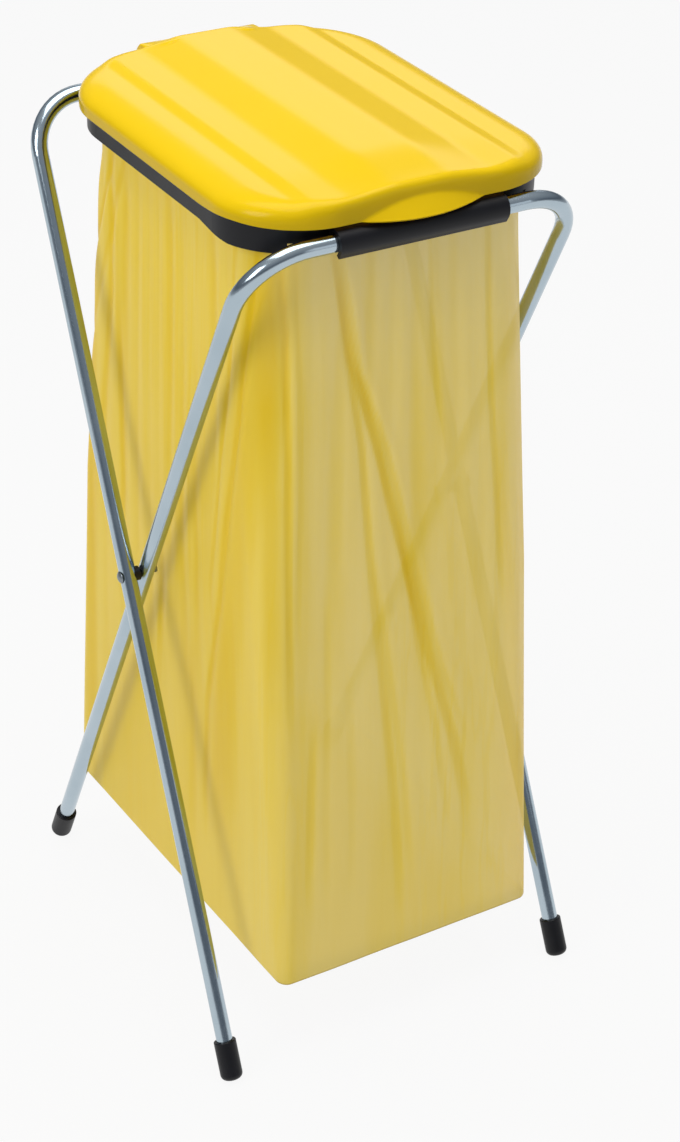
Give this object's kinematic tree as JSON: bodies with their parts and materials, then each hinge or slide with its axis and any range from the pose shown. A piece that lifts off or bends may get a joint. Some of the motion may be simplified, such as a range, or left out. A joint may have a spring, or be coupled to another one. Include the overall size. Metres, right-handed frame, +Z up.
{
  "type": "bin bag holder",
  "caption": "Folding X-frame stand of bent steel tube that holds a refuse sack open in a plastic ring under a hinged lid.",
  "frame": {"origin": "centre of the footprint, on the floor under the four end caps", "axes": "+Z up; -Y towards the front, where the lid opens; +X to the right seen from the front"},
  "size_m": [0.406, 0.4552, 0.9004],
  "materials": {
    "tube_steel": "bright zinc plated",
    "rivet_steel": "plain plated",
    "black_plastic": "satin moulded",
    "yellow_plastic": "satin moulded",
    "sack_film": "thin creased film"
  },
  "bodies": {
    "rear_frame": {"rear_bar_frame": "tube_steel", "foot_cap_front_left": "black_plastic", "foot_cap_front_right": "black_plastic", "pivot_rivet_left": "rivet_steel", "pivot_rivet_right": "rivet_steel", "pivot_spacer_left": "black_plastic", "pivot_spacer_right": "black_plastic"},
    "front_frame": {"front_bar_frame": "tube_steel", "foot_cap_rear_left": "black_plastic", "foot_cap_rear_right": "black_plastic"},
    "ring": {"bag_ring": "black_plastic", "bag": "sack_film"},
    "lid": {"lid": "yellow_plastic"}
  },
  "joints": [
    {"name": "frame_fold", "type": "hinge", "parent": "rear_frame", "child": "front_frame", "pos_m": [0, -0.0009, 0.45851], "axis": [-1, 0, 0], "range_deg": [0, 47]},
    {"name": "ring_swing", "type": "hinge", "parent": "rear_frame", "child": "ring", "pos_m": [0, 0.1926, 0.862], "axis": [-1, 0, 0], "range_deg": [0, 108.1], "deforming": ["bag"]},
    {"name": "lid_open", "type": "hinge", "parent": "ring", "child": "lid", "pos_m": [0, 0.1926, 0.862], "axis": [-1, 0, 0], "range_deg": [0, 105]}
  ],
  "couplings": [
    {"joint": "ring_swing", "follows": "frame_fold", "ratio": 2.3}
  ]
}
